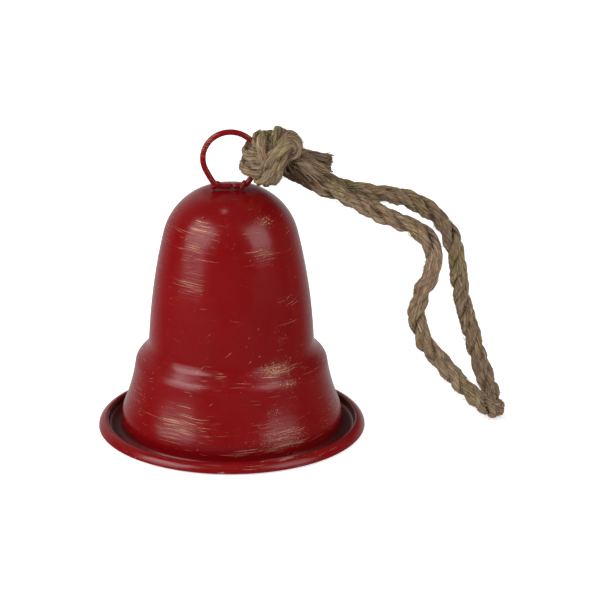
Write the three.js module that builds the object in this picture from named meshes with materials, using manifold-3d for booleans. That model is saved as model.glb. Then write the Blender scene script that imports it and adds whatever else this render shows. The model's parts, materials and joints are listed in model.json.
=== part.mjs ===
// A sheet-metal bell ornament on a knotted jute rope loop. Millimetres, +Z up.
// The origin is on the surface that the rim stands on, under the bell's axis.
// +X is the side where the rope loop lies. The wire ring stands in the XZ plane.
import * as THREE from "three";
import { mergeVertices } from "three/addons/utils/BufferGeometryUtils.js";
import Module from "manifold-3d";

// ---- Driving dimensions ----

// Gaps between pieces that touch, and between pieces that turn on each other
const touchGap = 0.3;
const ropeGap = 0.35;

// Bell shell. Radii are of the outer face, and angles are its slope below horizontal.
const sheet = 0.8;
const crownRadius = 110;
const crownSlope = 6;
const crownEdgeRadius = 13;
const crownEdgeSlope = 30;
const domeRadius = 28.5;
const domeSlope = 76.7;
const waistRadius = 272;
const waistSlope = 87.4;
const coveRadius = 7;
const coveSlope = 47;
const shoulderFlat = 3.7;
const shoulderRadius = 6.6;
const shoulderSlope = 82.4;
const skirtRadius = 85;
const skirtSlope = 68.2;
const skirtFootRadius = 12.6;
const skirtFootDrop = 3.7;

// Rolled lip: a flat gutter, an upturned wall, a tight bend over its top and a wide roll
// outside it that comes down to the surface
const gutterFillet = 2.2;
const gutterWidth = 2.18;
const lipFillet = 1.6;
const lipWall = 1.2;
const lipTopRadius = 1.05;
const lipTopSlope = 10;
const lipRollRadius = 4;
const lipRollSlope = 88;
const shellSides = 40;

// Hanging ring
const ringWire = 2.6;
const ringRadius = 12.3;
const ringCentreAboveFoot = 13;
const ringFootGap = 0.5;
const ringFootBend = 2;
const ringLegSlope = 65;
const ringLegBend = 4;
const ringJoinSlope = 42;

// Clapper: a wire staple under the crown, a link, a rod with an eye, and a bored ball
const stapleWire = 2;
const stapleRadius = 5;
const stapleLeg = 3.2;
const linkWire = 1.6;
const linkRadius = 4.5;
const rodWire = 2;
const eyeRadius = 4;
const ballRadius = 10;
const ballHeight = 20;
const rivetRadius = 2.4;
const rivetHeight = 1.6;

// Rope, its two cut ends and its knot
const ropeDiameter = 8;
const tailFlare = 1.15;
const tailLength = 17;
const tailSocket = 5;

// The rope's centre line, from the knot out along the back strand, round the fold on the
// surface, and back to the knot along the front strand
const ropeRoute = [
  [30.6, 4.7, 121.5],
  [38.7, 4.7, 117.5],
  [46.7, 5, 113.6],
  [54, 5.6, 110.7],
  [61.5, 6.6, 109.2],
  [70, 8.1, 107.9],
  [78.5, 10.2, 105.1],
  [85.5, 12.2, 101.1],
  [91.3, 13.9, 96.2],
  [96.2, 15.6, 89.8],
  [99.8, 17.3, 81.5],
  [101.9, 19.2, 70.5],
  [103.1, 21.1, 59],
  [105.2, 22.6, 48],
  [108.2, 24, 37],
  [110.9, 25.2, 26.8],
  [113.8, 25.4, 17.2],
  [116.4, 24, 10.6],
  [118.5, 20, 6],
  [119.5, 14.5, 4.3],
  [119.2, 8.8, 4.4],
  [117.5, 3.3, 6.6],
  [114, -1.2, 10.6],
  [109, -4.2, 15.8],
  [102.2, -6.3, 23.7],
  [95, -7.2, 32.6],
  [88.5, -7.3, 40.8],
  [84.4, -7.1, 48.8],
  [82.9, -6.8, 56.5],
  [84.3, -6.4, 64],
  [87.6, -6.1, 71.2],
  [90.2, -5.9, 78.8],
  [90, -5.6, 86.6],
  [86.4, -5.4, 93],
  [80, -5.2, 97.6],
  [71, -5.1, 101.4],
  [60, -4.9, 106.9],
  [49.5, -4.7, 112.4],
  [38.5, -4.7, 117.5],
  [30.6, -4.7, 121.5],
];

// Knot lobes, placed from the ring's centre: [x, y, z, half width, half depth, half height]
const knotLobes = [
  [9.7, 0, -1.5, 6.4, 8, 7.8],
  [17.6, 0, 7.7, 8.6, 10, 6.7],
  [17.7, -0.5, -5.7, 6.8, 9.6, 7.4],
  [26, -0.5, 6.2, 5, 6.5, 4.8],
  [25.5, 0, -3, 6.2, 9.6, 6.5],
];

// The cut ends leave the knot side by side, just above the strands, which leave it at this
// height from the ring's centre
const strandHeight = -6.23;
const tailStart = 30;
const tailRise = 0.43;
const tailSlope = -11;

// ---- Helpers ----

const wasm = await Module();
wasm.setup();

function toSolid(geometry) {
  const bare = new THREE.BufferGeometry();
  bare.setAttribute("position", geometry.getAttribute("position"));
  bare.setIndex(geometry.getIndex());
  const merged = mergeVertices(bare, 1e-4);
  return new wasm.Manifold(new wasm.Mesh({
    numProp: 3,
    vertProperties: new Float32Array(merged.getAttribute("position").array),
    triVerts: new Uint32Array(merged.getIndex().array),
  }));
}

function toGeometry(solid) {
  const mesh = solid.getMesh();
  const geometry = new THREE.BufferGeometry();
  geometry.setAttribute("position", new THREE.BufferAttribute(mesh.vertProperties, 3));
  geometry.setIndex(new THREE.BufferAttribute(mesh.triVerts, 1));
  geometry.computeVertexNormals();
  return geometry;
}

function named(name, geometry, material) {
  const mesh = new THREE.Mesh(geometry, material);
  mesh.name = name;
  return mesh;
}

// A regular polygon whose corners lie on the circle
function roundSection(radius, sides) {
  const corners = [];
  for (let i = 0; i < sides; i += 1) {
    const angle = (2 * Math.PI * (i + 0.5)) / sides;
    corners.push(new THREE.Vector2(radius * Math.cos(angle), radius * Math.sin(angle)));
  }
  return new THREE.Shape(corners);
}

function tubeAlong(curve, radius, sides, steps) {
  return new THREE.ExtrudeGeometry(roundSection(radius, sides), {
    steps,
    bevelEnabled: false,
    extrudePath: curve,
  });
}

// A flat path drawn in x and z, stood up in the XZ plane
class UprightPath extends THREE.Curve {
  constructor(path) {
    super();
    this.path = path;
  }

  getPoint(t, target = new THREE.Vector3()) {
    const point = this.path.getPoint(t);
    return target.set(point.x, 0, point.y);
  }
}

// A lathe about Z, from an outline of [radius, z] points
function latheAboutZ(outline, sides) {
  const points = outline.map(([radius, z]) => new THREE.Vector2(radius, z));
  const geometry = new THREE.LatheGeometry(points, sides);
  geometry.rotateX(Math.PI / 2);
  return geometry;
}

// A solid of revolution about Z, from its lowest to its highest point, that stands at z
function turned(outline, sides, z) {
  return toSolid(latheAboutZ(outline, sides).translate(0, 0, z));
}

function rod(radius, bottom, top, sides) {
  return turned([[0, 0], [radius, 0], [radius, top - bottom], [0, top - bottom]], sides, bottom);
}

function ellipsoid([x, y, z, halfWidth, halfDepth, halfHeight], zOffset) {
  const geometry = new THREE.SphereGeometry(1, 16, 10);
  geometry.scale(halfWidth, halfHeight, halfDepth);
  geometry.rotateX(Math.PI / 2);
  geometry.translate(x, y, z + zOffset);
  return toSolid(geometry);
}

// A ring of wire about the Y axis, centred on the bell's axis at a height
function ringInXZ(radius, wireRadius, height, sides, steps) {
  const geometry = new THREE.TorusGeometry(radius, wireRadius, sides, steps);
  geometry.rotateX(Math.PI / 2);
  geometry.translate(0, 0, height);
  return geometry;
}

// ---- Bell shell ----

// Walks the outer face from the apex to the lip's free edge. Each point keeps its slope,
// so that the inner face is the same walk one sheet thickness inside it.
function shellWalk() {
  const walk = [{ r: 0, z: 0, slope: 0 }];
  const last = () => walk[walk.length - 1];

  function bend(radius, toSlope, steps) {
    const from = last();
    const turn = toSlope > from.slope ? 1 : -1;
    const start = THREE.MathUtils.degToRad(from.slope);
    for (let i = 1; i <= steps; i += 1) {
      const slope = from.slope + ((toSlope - from.slope) * i) / steps;
      const angle = THREE.MathUtils.degToRad(slope);
      walk.push({
        r: from.r + turn * radius * (Math.sin(angle) - Math.sin(start)),
        z: from.z - turn * radius * (Math.cos(start) - Math.cos(angle)),
        slope,
      });
    }
  }

  function straight(length) {
    const { r, z, slope } = last();
    const angle = THREE.MathUtils.degToRad(slope);
    walk.push({ r: r + length * Math.cos(angle), z: z - length * Math.sin(angle), slope });
  }

  bend(crownRadius, crownSlope, 1);
  bend(crownEdgeRadius, crownEdgeSlope, 2);
  bend(domeRadius, domeSlope, 5);
  bend(waistRadius, waistSlope, 3);
  bend(coveRadius, coveSlope, 3);
  straight(shoulderFlat);
  bend(shoulderRadius, shoulderSlope, 3);
  bend(skirtRadius, skirtSlope, 2);
  bend(skirtFootRadius, 90, 2);
  straight(skirtFootDrop);
  bend(gutterFillet, 0, 3);
  straight(gutterWidth);
  bend(lipFillet, -90, 3);
  straight(lipWall);
  bend(lipTopRadius, lipTopSlope, 3);
  bend(lipRollRadius, lipRollSlope, 5);

  // The gutter's underside stands on z = 0
  const lowest = Math.min(...walk.map((point) => point.z));
  return walk.map((point) => ({ ...point, z: point.z - lowest + sheet }));
}

const shellOuter = shellWalk();
const crownHeight = shellOuter[0].z;
const crownUnderside = crownHeight - sheet;

function bellShell() {
  const outer = shellOuter.map(({ r, z }) => [r, z]);
  const inner = shellOuter.map(({ r, z, slope }) => {
    const angle = THREE.MathUtils.degToRad(slope);
    return [r - sheet * Math.sin(angle), z - sheet * Math.cos(angle)];
  });
  return latheAboutZ([...inner, ...outer.reverse()], shellSides);
}

// ---- Hanging ring ----

const ringFootHeight = crownHeight + touchGap + ringWire / 2;
const ringCentre = ringFootHeight + ringCentreAboveFoot;

// Half of the wire's path: along the foot, up the leg, and onto the circle
function hangingRing() {
  const [leg, join] = [ringLegSlope, ringJoinSlope].map(THREE.MathUtils.degToRad);
  const rise = ringCentreAboveFoot - ringRadius * Math.cos(join)
    - ringFootBend * (1 - Math.cos(leg)) - ringLegBend * (Math.cos(join) - Math.cos(leg));
  const legLength = rise / Math.sin(leg);
  const legTopX = (ringRadius + ringLegBend) * Math.sin(join) - ringLegBend * Math.sin(leg);
  const footHalf = legTopX - legLength * Math.cos(leg) - ringFootBend * Math.sin(leg);
  const legBendX = (ringRadius + ringLegBend) * Math.sin(join);
  const legBendZ = ringCentre - (ringRadius + ringLegBend) * Math.cos(join);
  const footBendZ = ringFootHeight + ringFootBend;
  const right = Math.PI / 2;

  const path = new THREE.Path();
  path.moveTo(ringFootGap / 2, ringFootHeight);
  path.lineTo(footHalf, ringFootHeight);
  path.absarc(footHalf, footBendZ, ringFootBend, -right, leg - right, false);
  path.absarc(legBendX, legBendZ, ringLegBend, leg + right, join + right, true);
  path.absarc(0, ringCentre, ringRadius, join - right, 3 * right - join, false);
  path.absarc(-legBendX, legBendZ, ringLegBend, right - join, right - leg, true);
  path.absarc(-footHalf, footBendZ, ringFootBend, -right - leg, -right, false);
  path.lineTo(-ringFootGap / 2, ringFootHeight);
  return tubeAlong(new UprightPath(path), ringWire / 2, 8, 56);
}

// ---- Clapper ----

const stapleArcHeight = crownUnderside - touchGap - stapleLeg;
const linkPivot = stapleArcHeight - stapleRadius;
const linkCentre = linkPivot + stapleWire / 2 + touchGap + linkWire / 2 - linkRadius;
const clapperPivot = linkCentre - linkRadius;
const eyeCentre = clapperPivot + linkWire / 2 + touchGap + rodWire / 2 - eyeRadius;

// A U of wire in the XZ plane, with its legs up against the crown
function clapperStaple() {
  const top = crownUnderside - touchGap
    - (crownRadius - Math.sqrt(crownRadius ** 2 - (stapleRadius + stapleWire / 2) ** 2));
  const path = new THREE.Path();
  path.moveTo(-stapleRadius, top);
  path.lineTo(-stapleRadius, stapleArcHeight);
  path.absarc(0, stapleArcHeight, stapleRadius, -Math.PI, 0, false);
  path.lineTo(stapleRadius, top);
  return tubeAlong(new UprightPath(path), stapleWire / 2, 8, 22);
}

function clapperLink() {
  const geometry = new THREE.TorusGeometry(linkRadius, linkWire / 2, 8, 20);
  geometry.rotateY(Math.PI / 2);
  geometry.translate(0, 0, linkCentre);
  return geometry;
}

// The eye, the rod through the ball, and the rivet head that keeps the ball on
function clapperRod() {
  const headTop = ballHeight - ballRadius - touchGap;
  const shaftTop = eyeCentre - eyeRadius;
  const eye = toSolid(ringInXZ(eyeRadius, rodWire / 2, eyeCentre, 8, 20));
  const shaft = rod(rodWire / 2, headTop - rivetHeight / 2, shaftTop, 10);
  const head = rod(rivetRadius, headTop - rivetHeight, headTop, 16);
  return toGeometry(eye.add(shaft).add(head));
}

function clapperBall() {
  const ball = toSolid(new THREE.SphereGeometry(ballRadius, 24, 14).rotateX(Math.PI / 2)
    .translate(0, 0, ballHeight));
  const bore = rod(rodWire / 2 + touchGap, ballHeight - 2 * ballRadius, ballHeight + 2 * ballRadius, 12);
  return toGeometry(ball.subtract(bore));
}

// ---- Rope ----

const ropePoints = ropeRoute.map(([x, y, z]) => new THREE.Vector3(x, y, z));
const ropeCurve = new THREE.CatmullRomCurve3(ropePoints);
const tailEndDiameter = tailFlare * ropeDiameter;
const tailHeight = ringCentre + strandHeight + ropeDiameter + tailRise;

function ropeLoop() {
  return tubeAlong(ropeCurve, ropeDiameter / 2, 8, 52);
}

// One cut rope end, along +X from its socket in the knot, fanning out to its end
function ropeTail(radiusIn, radiusOut, start, side) {
  const frame = new THREE.Object3D();
  frame.position.set(tailStart, (side * (tailEndDiameter + touchGap)) / 2, tailHeight);
  frame.rotation.set(0, THREE.MathUtils.degToRad(90 - tailSlope), 0);
  frame.updateMatrix();
  const outline = [[0, start], [radiusIn, start], [radiusIn, 0], [radiusOut, tailLength], [0, tailLength]];
  return latheAboutZ(outline, 12).applyMatrix4(frame.matrix);
}

// The end of a strand, grown by the gap, that the knot leaves free
function strandSocket(from, to) {
  const along = to.clone().sub(from).normalize();
  const end = from.clone().addScaledVector(along, -touchGap);
  const line = new THREE.LineCurve3(end, to.clone().addScaledVector(along, ropeDiameter));
  return toSolid(tubeAlong(line, ropeDiameter / 2 + touchGap, 10, 1));
}

function ropeKnot() {
  const lobes = knotLobes.map((lobe) => ellipsoid(lobe, ringCentre));
  const wireTunnel = toSolid(ringInXZ(ringRadius, ringWire / 2 + ropeGap, ringCentre, 10, 40));
  const last = ropePoints.length - 1;
  const sockets = [
    strandSocket(ropePoints[0], ropePoints[1]),
    strandSocket(ropePoints[last], ropePoints[last - 1]),
  ];
  for (const side of [-1, 1]) {
    const inner = ropeDiameter / 2 + touchGap;
    const outer = tailEndDiameter / 2 + touchGap;
    sockets.push(toSolid(ropeTail(inner, outer, -tailSocket - touchGap, side)));
  }
  let knot = lobes.reduce((sum, lobe) => sum.add(lobe));
  for (const cut of [wireTunnel, ...sockets]) {
    knot = knot.subtract(cut);
  }
  return toGeometry(knot);
}

// ---- Materials ----

const redPaint = new THREE.MeshStandardMaterial({ color: 0x8c1018, roughness: 0.28, metalness: 0.1 });
const steelWire = new THREE.MeshStandardMaterial({ color: 0x8a8780, roughness: 0.4, metalness: 0.9 });
const ironBall = new THREE.MeshStandardMaterial({ color: 0x3b3836, roughness: 0.5, metalness: 0.8 });
const jute = new THREE.MeshStandardMaterial({ color: 0x7d6850, roughness: 0.95, metalness: 0 });

// ---- Assembly ----

const bell = new THREE.Group();
bell.add(named("bell_shell", bellShell(), redPaint));
bell.add(named("hanging_ring", hangingRing(), redPaint));
bell.add(named("clapper_staple", clapperStaple(), steelWire));

const clapper = new THREE.Group();
clapper.add(named("clapper_link", clapperLink(), steelWire));
clapper.add(named("clapper_rod", clapperRod(), steelWire));
clapper.add(named("clapper_ball", clapperBall(), ironBall));

const rope = new THREE.Group();
rope.add(named("rope_loop", ropeLoop(), jute));
rope.add(named("rope_knot", ropeKnot(), jute));
const tailRadii = [ropeDiameter / 2, tailEndDiameter / 2];
rope.add(named("rope_tail_front", ropeTail(...tailRadii, -tailSocket, -1), jute));
rope.add(named("rope_tail_back", ropeTail(...tailRadii, -tailSocket, 1), jute));

const ornament = new THREE.Group();
ornament.add(bell, clapper, rope);

export default ornament;
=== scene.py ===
"""A red sheet-metal Christmas bell with a wire ring, a clapper and a knotted jute rope loop.

Metres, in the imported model's frame: the rim stands on z = 0, the bell's axis is z, the wire
ring stands in the xz plane and the rope lies on the +x side.
"""
import itertools
import json
import math

import bpy
import numpy as np
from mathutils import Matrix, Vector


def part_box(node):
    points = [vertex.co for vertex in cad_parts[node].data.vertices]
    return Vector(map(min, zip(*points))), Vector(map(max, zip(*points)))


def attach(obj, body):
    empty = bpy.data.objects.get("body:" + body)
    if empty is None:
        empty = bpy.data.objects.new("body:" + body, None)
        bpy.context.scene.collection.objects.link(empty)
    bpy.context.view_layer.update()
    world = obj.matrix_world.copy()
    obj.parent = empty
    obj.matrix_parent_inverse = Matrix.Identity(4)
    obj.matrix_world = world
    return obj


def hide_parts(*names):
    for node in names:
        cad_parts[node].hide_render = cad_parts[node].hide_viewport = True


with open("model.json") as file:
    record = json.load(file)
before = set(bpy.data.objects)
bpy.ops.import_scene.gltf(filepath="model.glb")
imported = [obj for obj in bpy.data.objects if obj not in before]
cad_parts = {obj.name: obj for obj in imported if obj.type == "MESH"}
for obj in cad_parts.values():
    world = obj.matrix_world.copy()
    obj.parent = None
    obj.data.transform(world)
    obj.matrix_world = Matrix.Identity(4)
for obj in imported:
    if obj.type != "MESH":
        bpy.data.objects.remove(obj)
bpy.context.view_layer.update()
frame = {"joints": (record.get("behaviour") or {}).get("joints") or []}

MM = 0.001
JOINTS = {joint["name"]: joint for joint in frame["joints"]}


# ---- Camera ----

VIEW_ELEVATION = 20.6
VIEW_DISTANCE = 2.5
VIEW_TARGET = (0.03085, 0.0, 0.0605)
VIEW_LENS = 334.5
SENSOR_WIDTH = 36


def place_camera():
    elevation = math.radians(VIEW_ELEVATION)
    data = bpy.data.cameras.new("camera")
    data.lens = VIEW_LENS
    data.sensor_width = SENSOR_WIDTH
    data.clip_end = 20
    camera = bpy.data.objects.new("camera", data)
    x, y, z = VIEW_TARGET
    back = VIEW_DISTANCE * math.cos(elevation)
    camera.location = (x, y - back, z + VIEW_DISTANCE * math.sin(elevation))
    camera.rotation_euler = (math.pi / 2 - elevation, 0, 0)
    bpy.context.scene.collection.objects.link(camera)
    bpy.context.scene.camera = camera


place_camera()


# ---- Mesh helpers ----

def add_mesh(name, vertices, faces, material, **attributes):
    """One smooth-shaded object. Each attribute is a number or a vector for every vertex."""
    mesh = bpy.data.meshes.new(name)
    mesh.from_pydata(np.asarray(vertices).tolist(), [], [tuple(face) for face in faces])
    for key, values in attributes.items():
        values = np.asarray(values, float)
        kind, slot = ("FLOAT", "value") if values.ndim == 1 else ("FLOAT_VECTOR", "vector")
        mesh.attributes.new(key, kind, "POINT").data.foreach_set(slot, values.ravel())
    mesh.polygons.foreach_set("use_smooth", [True] * len(mesh.polygons))
    mesh.materials.append(material)
    mesh.update()
    piece = bpy.data.objects.new(name, mesh)
    bpy.context.scene.collection.objects.link(piece)
    return piece


def stand_for(piece, body, slot, *nodes):
    """The piece moves with a body and hides the CAD nodes it replaces. The slot is not used."""
    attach(piece, body)
    if nodes:
        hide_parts(*nodes)


def grid_faces(rows, columns, start=0):
    """The quads of a tube whose rings are rows of vertices."""
    faces = []
    for i in range(rows - 1):
        for j in range(columns):
            k = (j + 1) % columns
            a, b = start + i * columns, start + (i + 1) * columns
            faces.append((a + j, a + k, b + k, b + j))
    return faces


def unit(vectors):
    return vectors / np.maximum(np.linalg.norm(vectors, axis=-1, keepdims=True), 1e-12)


LATTICE_SIZE = 32
LATTICE = np.random.default_rng(3).uniform(-1, 1, (LATTICE_SIZE,) * 3)


def lumps(places):
    """Smooth random lumps, about one unit across, from -1 to 1."""
    cell = np.floor(places).astype(int)
    part = places - cell
    part = part * part * (3 - 2 * part)
    total = np.zeros(places.shape[:-1])
    for corner in itertools.product((0, 1), repeat=3):
        weight = np.prod(np.where(corner, part, 1 - part), axis=-1)
        i, j, k = np.moveaxis((cell + corner) % LATTICE_SIZE, -1, 0)
        total += weight * LATTICE[i, j, k]
    return total


class Line:
    """A smooth line through a few points, resampled evenly, with frames carried along it."""

    def __init__(self, points, step):
        points = np.asarray(points, float)
        head, tail = 2 * points[0] - points[1], 2 * points[-1] - points[-2]
        padded = np.vstack([head, points, tail])
        fine = []
        for a, b, c, d in zip(padded, padded[1:], padded[2:], padded[3:]):
            t = np.linspace(0, 1, 24, endpoint=False)[:, None]
            turn = 2 * b + (c - a) * t
            bow = (2 * a - 5 * b + 4 * c - d) * t ** 2 + (3 * b - a - 3 * c + d) * t ** 3
            fine.append((turn + bow) / 2)
        fine = np.vstack([*fine, padded[-2:-1]])
        along = np.concatenate([[0], np.cumsum(np.linalg.norm(np.diff(fine, axis=0), axis=1))])
        count = max(8, int(round(along[-1] / step)) + 1)
        self.along = np.linspace(0, along[-1], count)
        self.points = np.stack([np.interp(self.along, along, axis) for axis in fine.T], 1)
        self.length = along[-1]
        self.tangents = unit(np.gradient(self.points, axis=0))
        self.carry_frames()

    def carry_frames(self):
        guess = np.eye(3)[np.argmin(np.abs(self.tangents[0]))]
        across = [unit(guess - self.tangents[0] * guess.dot(self.tangents[0]))]
        for tangent in self.tangents[1:]:
            last = across[-1]
            across.append(unit(last - tangent * last.dot(tangent)))
        self.across = np.array(across)
        self.side = np.cross(self.tangents, self.across)


class Wires:
    """Gathers closed tubes, with their attributes, into one mesh."""

    def __init__(self):
        self.vertices, self.faces, self.lay, self.hollow = [], [], [], []
        self.count = 0

    def add(self, rings, lay=None, hollow=None):
        """rings is an array of rings by sides by xyz. Both ends are closed with a fan."""
        rows, sides, _ = rings.shape
        ends = np.stack([rings[0].mean(0), rings[-1].mean(0)])
        self.vertices.append(np.vstack([rings.reshape(-1, 3), ends]))
        self.faces += grid_faces(rows, sides, self.count)
        first, last = self.count + rows * sides, self.count + rows * sides + 1
        base = self.count + (rows - 1) * sides
        for j in range(sides):
            k = (j + 1) % sides
            self.faces.append((first, self.count + k, self.count + j))
            self.faces.append((last, base + j, base + k))
        if lay is None:
            lay = np.zeros((rows, sides, 3))
        if hollow is None:
            hollow = np.zeros((rows, sides))
        lay_ends = np.stack([lay[0].mean(0), lay[-1].mean(0)])
        self.lay.append(np.vstack([lay.reshape(-1, 3), lay_ends]))
        self.hollow.append(np.concatenate([hollow.ravel(), [0, 0]]))
        self.count += rows * sides + 2

    def build(self, name, material):
        lay, hollow = np.vstack(self.lay), np.concatenate(self.hollow)
        vertices = np.vstack(self.vertices)
        return add_mesh(name, vertices, self.faces, material, lay=lay, hollow=hollow)


def tube_rings(line, radius, sides):
    """The rings of a round tube. The radius is a number, or one for each station."""
    radius = np.broadcast_to(radius, line.along.shape)[:, None, None]
    angle = np.linspace(0, 2 * math.pi, sides, endpoint=False)[None, :, None]
    across, side = line.across[:, None, :], line.side[:, None, :]
    return line.points[:, None, :] + radius * (np.cos(angle) * across + np.sin(angle) * side)


# ---- Material helpers ----

def new_material(name, **settings):
    """A node material. The settings are the shader's own uniform values."""
    material = bpy.data.materials.new(name)
    material.use_nodes = True
    shader = material.node_tree.nodes["Principled BSDF"]
    for key, value in settings.items():
        shader.inputs[key.replace("_", " ")].default_value = value
    return material, material.node_tree, shader


def node(tree, kind, inputs=None, **settings):
    """Adds a node. An input is a value or another node's output, by its name or number."""
    made = tree.nodes.new(kind)
    for key, value in settings.items():
        setattr(made, key, value)
    for key, value in (inputs or {}).items():
        if isinstance(value, bpy.types.NodeSocket):
            tree.links.new(value, made.inputs[key])
        else:
            made.inputs[key].default_value = value
    return made


def maths(tree, operation, a, b=0.0, c=0.0):
    made = node(tree, "ShaderNodeMath", {0: a, 1: b, 2: c}, operation=operation)
    return made.outputs[0]


def span(tree, value, low, high, to_low=0.0, to_high=1.0):
    """Takes a value from one range to another, clamped."""
    inputs = {"Value": value, "From Min": low, "From Max": high}
    inputs.update({"To Min": to_low, "To Max": to_high})
    return node(tree, "ShaderNodeMapRange", inputs, clamp=True).outputs[0]


def mix_colour(tree, factor, a, b, blend="MIX"):
    made = tree.nodes.new("ShaderNodeMix")
    made.data_type = "RGBA"
    made.blend_type = blend
    for number, value in ((0, factor), (6, a), (7, b)):
        if isinstance(value, bpy.types.NodeSocket):
            tree.links.new(value, made.inputs[number])
        else:
            made.inputs[number].default_value = value
    return made.outputs[2]


def noise(tree, vector, scale, stretch=(1, 1, 1), detail=2.0, roughness=0.5, shift=0.0):
    """Noise at a scale per metre. A stretch below 1 draws it out along that axis."""
    inputs = {"Vector": vector, "Scale": stretch, "Location": (shift, shift, shift)}
    placed = node(tree, "ShaderNodeMapping", inputs).outputs[0]
    inputs = {"Vector": placed, "Scale": scale, "Detail": detail, "Roughness": roughness}
    return node(tree, "ShaderNodeTexNoise", inputs).outputs["Fac"]


def bump(tree, shader, height, distance, strength=1.0):
    inputs = {"Height": height, "Distance": distance, "Strength": strength}
    made = node(tree, "ShaderNodeBump", inputs)
    tree.links.new(made.outputs["Normal"], shader.inputs["Normal"])


# ---- Materials ----

PAINT_DEEP = (0.142, 0.0008, 0.0016, 1)
PAINT_LIGHT = (0.165, 0.0014, 0.0026, 1)
GOLD_DARK = (0.5, 0.22, 0.1, 1)
GOLD_PALE = (0.72, 0.46, 0.3, 1)
# The tint of the painted shade in the gutter
GUTTER_SHADE_TINT = (0.28, 0.3, 0.4, 1)
STEEL_BRIGHT = (0.55, 0.54, 0.51, 1)
STEEL_TARNISH = (0.3, 0.27, 0.23, 1)
IRON_DARK = (0.09, 0.085, 0.08, 1)
IRON_RUBBED = (0.22, 0.2, 0.18, 1)
JUTE_REDDISH = (1.1, 0.88, 0.85, 1)
JUTE_GREENISH = (0.92, 1.02, 0.78, 1)
# The tint of the painted shade between plies and inside the knot
JUTE_SHADE_TINT = (0.2, 0.14, 0.12, 1)


def red_paint_material():
    """Gloss red enamel, rubbed through to a gold undercoat in fine lines and specks.

    The rub attribute says how much of each kind of mark a place has: lines round the bell,
    slanting strokes, and specks. A second attribute holds painted shade for the gutter, darker
    at the sides than in front.
    """
    material, tree, shader = new_material("red_paint", IOR=1.5)
    place = node(tree, "ShaderNodeTexCoord").outputs["Object"]
    rub = node(tree, "ShaderNodeAttribute", attribute_name="rub").outputs["Vector"]
    rub = node(tree, "ShaderNodeSeparateXYZ", {0: rub})
    line_rub, stroke_rub, speck_rub = rub.outputs[0], rub.outputs[1], rub.outputs[2]

    # Paint: slow changes of depth
    cloud = noise(tree, place, 28, detail=4, roughness=0.6)
    paint = mix_colour(tree, span(tree, cloud, 0.3, 0.7), PAINT_DEEP, PAINT_LIGHT)

    # Marks: each noise is cut high, and the rub attribute lifts it over the cut. The lines
    # wander a little up and down as they go round.
    split = node(tree, "ShaderNodeSeparateXYZ", {0: place})
    sway = maths(tree, "MULTIPLY_ADD", noise(tree, place, 45, detail=1, shift=6.4), 0.004,
                 split.outputs[2])
    swayed = node(tree, "ShaderNodeCombineXYZ",
                  {0: split.outputs[0], 1: split.outputs[1], 2: sway}).outputs[0]
    slant = node(tree, "ShaderNodeMapping", {"Vector": place, "Rotation": (0, 0.72, 0)}).outputs[0]
    lines = noise(tree, swayed, 2900, (0.022, 0.022, 1), detail=1, roughness=0.6)
    strokes = noise(tree, slant, 2300, (0.05, 0.5, 1), detail=1, roughness=0.5, shift=3.1)
    specks = noise(tree, place, 1500, (1, 1, 1.6), detail=2, roughness=0.7, shift=5.3)
    marks = maths(tree, "MULTIPLY_ADD", line_rub, 0.2, lines)
    marks = span(tree, marks, 0.745, 0.84)
    stroke = span(tree, maths(tree, "MULTIPLY_ADD", stroke_rub, 0.2, strokes), 0.75, 0.83)
    speck = span(tree, maths(tree, "MULTIPLY_ADD", speck_rub, 0.2, specks), 0.775, 0.83)
    marks = maths(tree, "MAXIMUM", marks, maths(tree, "MAXIMUM", stroke, speck))
    gold = mix_colour(tree, span(tree, specks, 0.4, 0.6), GOLD_DARK, GOLD_PALE)
    colour = mix_colour(tree, maths(tree, "MULTIPLY", marks, 0.7), paint, gold)
    # Painted shade: the gutter is multiplied by a dark tint and made a little rougher
    grime = node(tree, "ShaderNodeAttribute", attribute_name="grime").outputs["Fac"]
    colour = mix_colour(tree, grime, colour, GUTTER_SHADE_TINT, "MULTIPLY")
    tree.links.new(colour, shader.inputs["Base Color"])

    # Gloss: smudged all over, and duller where it is rubbed
    smudge = noise(tree, place, 75, (1, 1, 0.5), detail=5, roughness=0.7, shift=8.2)
    gloss = span(tree, smudge, 0.35, 0.72, 0.17, 0.26)
    gloss = maths(tree, "MULTIPLY_ADD", grime, 0.3, gloss)
    worn = maths(tree, "ADD", line_rub, stroke_rub)
    gloss = maths(tree, "MULTIPLY_ADD", worn, 0.05, gloss)
    tree.links.new(maths(tree, "MULTIPLY_ADD", marks, 0.15, gloss), shader.inputs["Roughness"])
    tree.links.new(maths(tree, "MULTIPLY", marks, 0.6), shader.inputs["Metallic"])
    ripple = noise(tree, place, 420, detail=2, roughness=0.5, shift=2.2)
    fine = noise(tree, swayed, 2600, (0.02, 0.02, 1), detail=1, shift=7.7)
    fine = maths(tree, "MULTIPLY", fine, maths(tree, "MULTIPLY", worn, 3.0))
    height = maths(tree, "MULTIPLY_ADD", ripple, 0.25, fine)
    height = maths(tree, "MULTIPLY_ADD", marks, -0.6, height)
    bump(tree, shader, height, 0.0001, 0.6)
    return material


def steel_wire_material():
    """Drawn, zinc-plated wire with fine lines and a little tarnish."""
    material, tree, shader = new_material("steel_wire", Metallic=1.0)
    place = node(tree, "ShaderNodeTexCoord").outputs["Object"]
    tarnish = noise(tree, place, 160, detail=4, roughness=0.65)
    colour = mix_colour(tree, span(tree, tarnish, 0.35, 0.7), STEEL_BRIGHT, STEEL_TARNISH)
    tree.links.new(colour, shader.inputs["Base Color"])
    tree.links.new(span(tree, tarnish, 0.3, 0.7, 0.28, 0.52), shader.inputs["Roughness"])
    bump(tree, shader, noise(tree, place, 2600, (1, 1, 0.15), detail=1), 0.00004)
    return material


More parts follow.
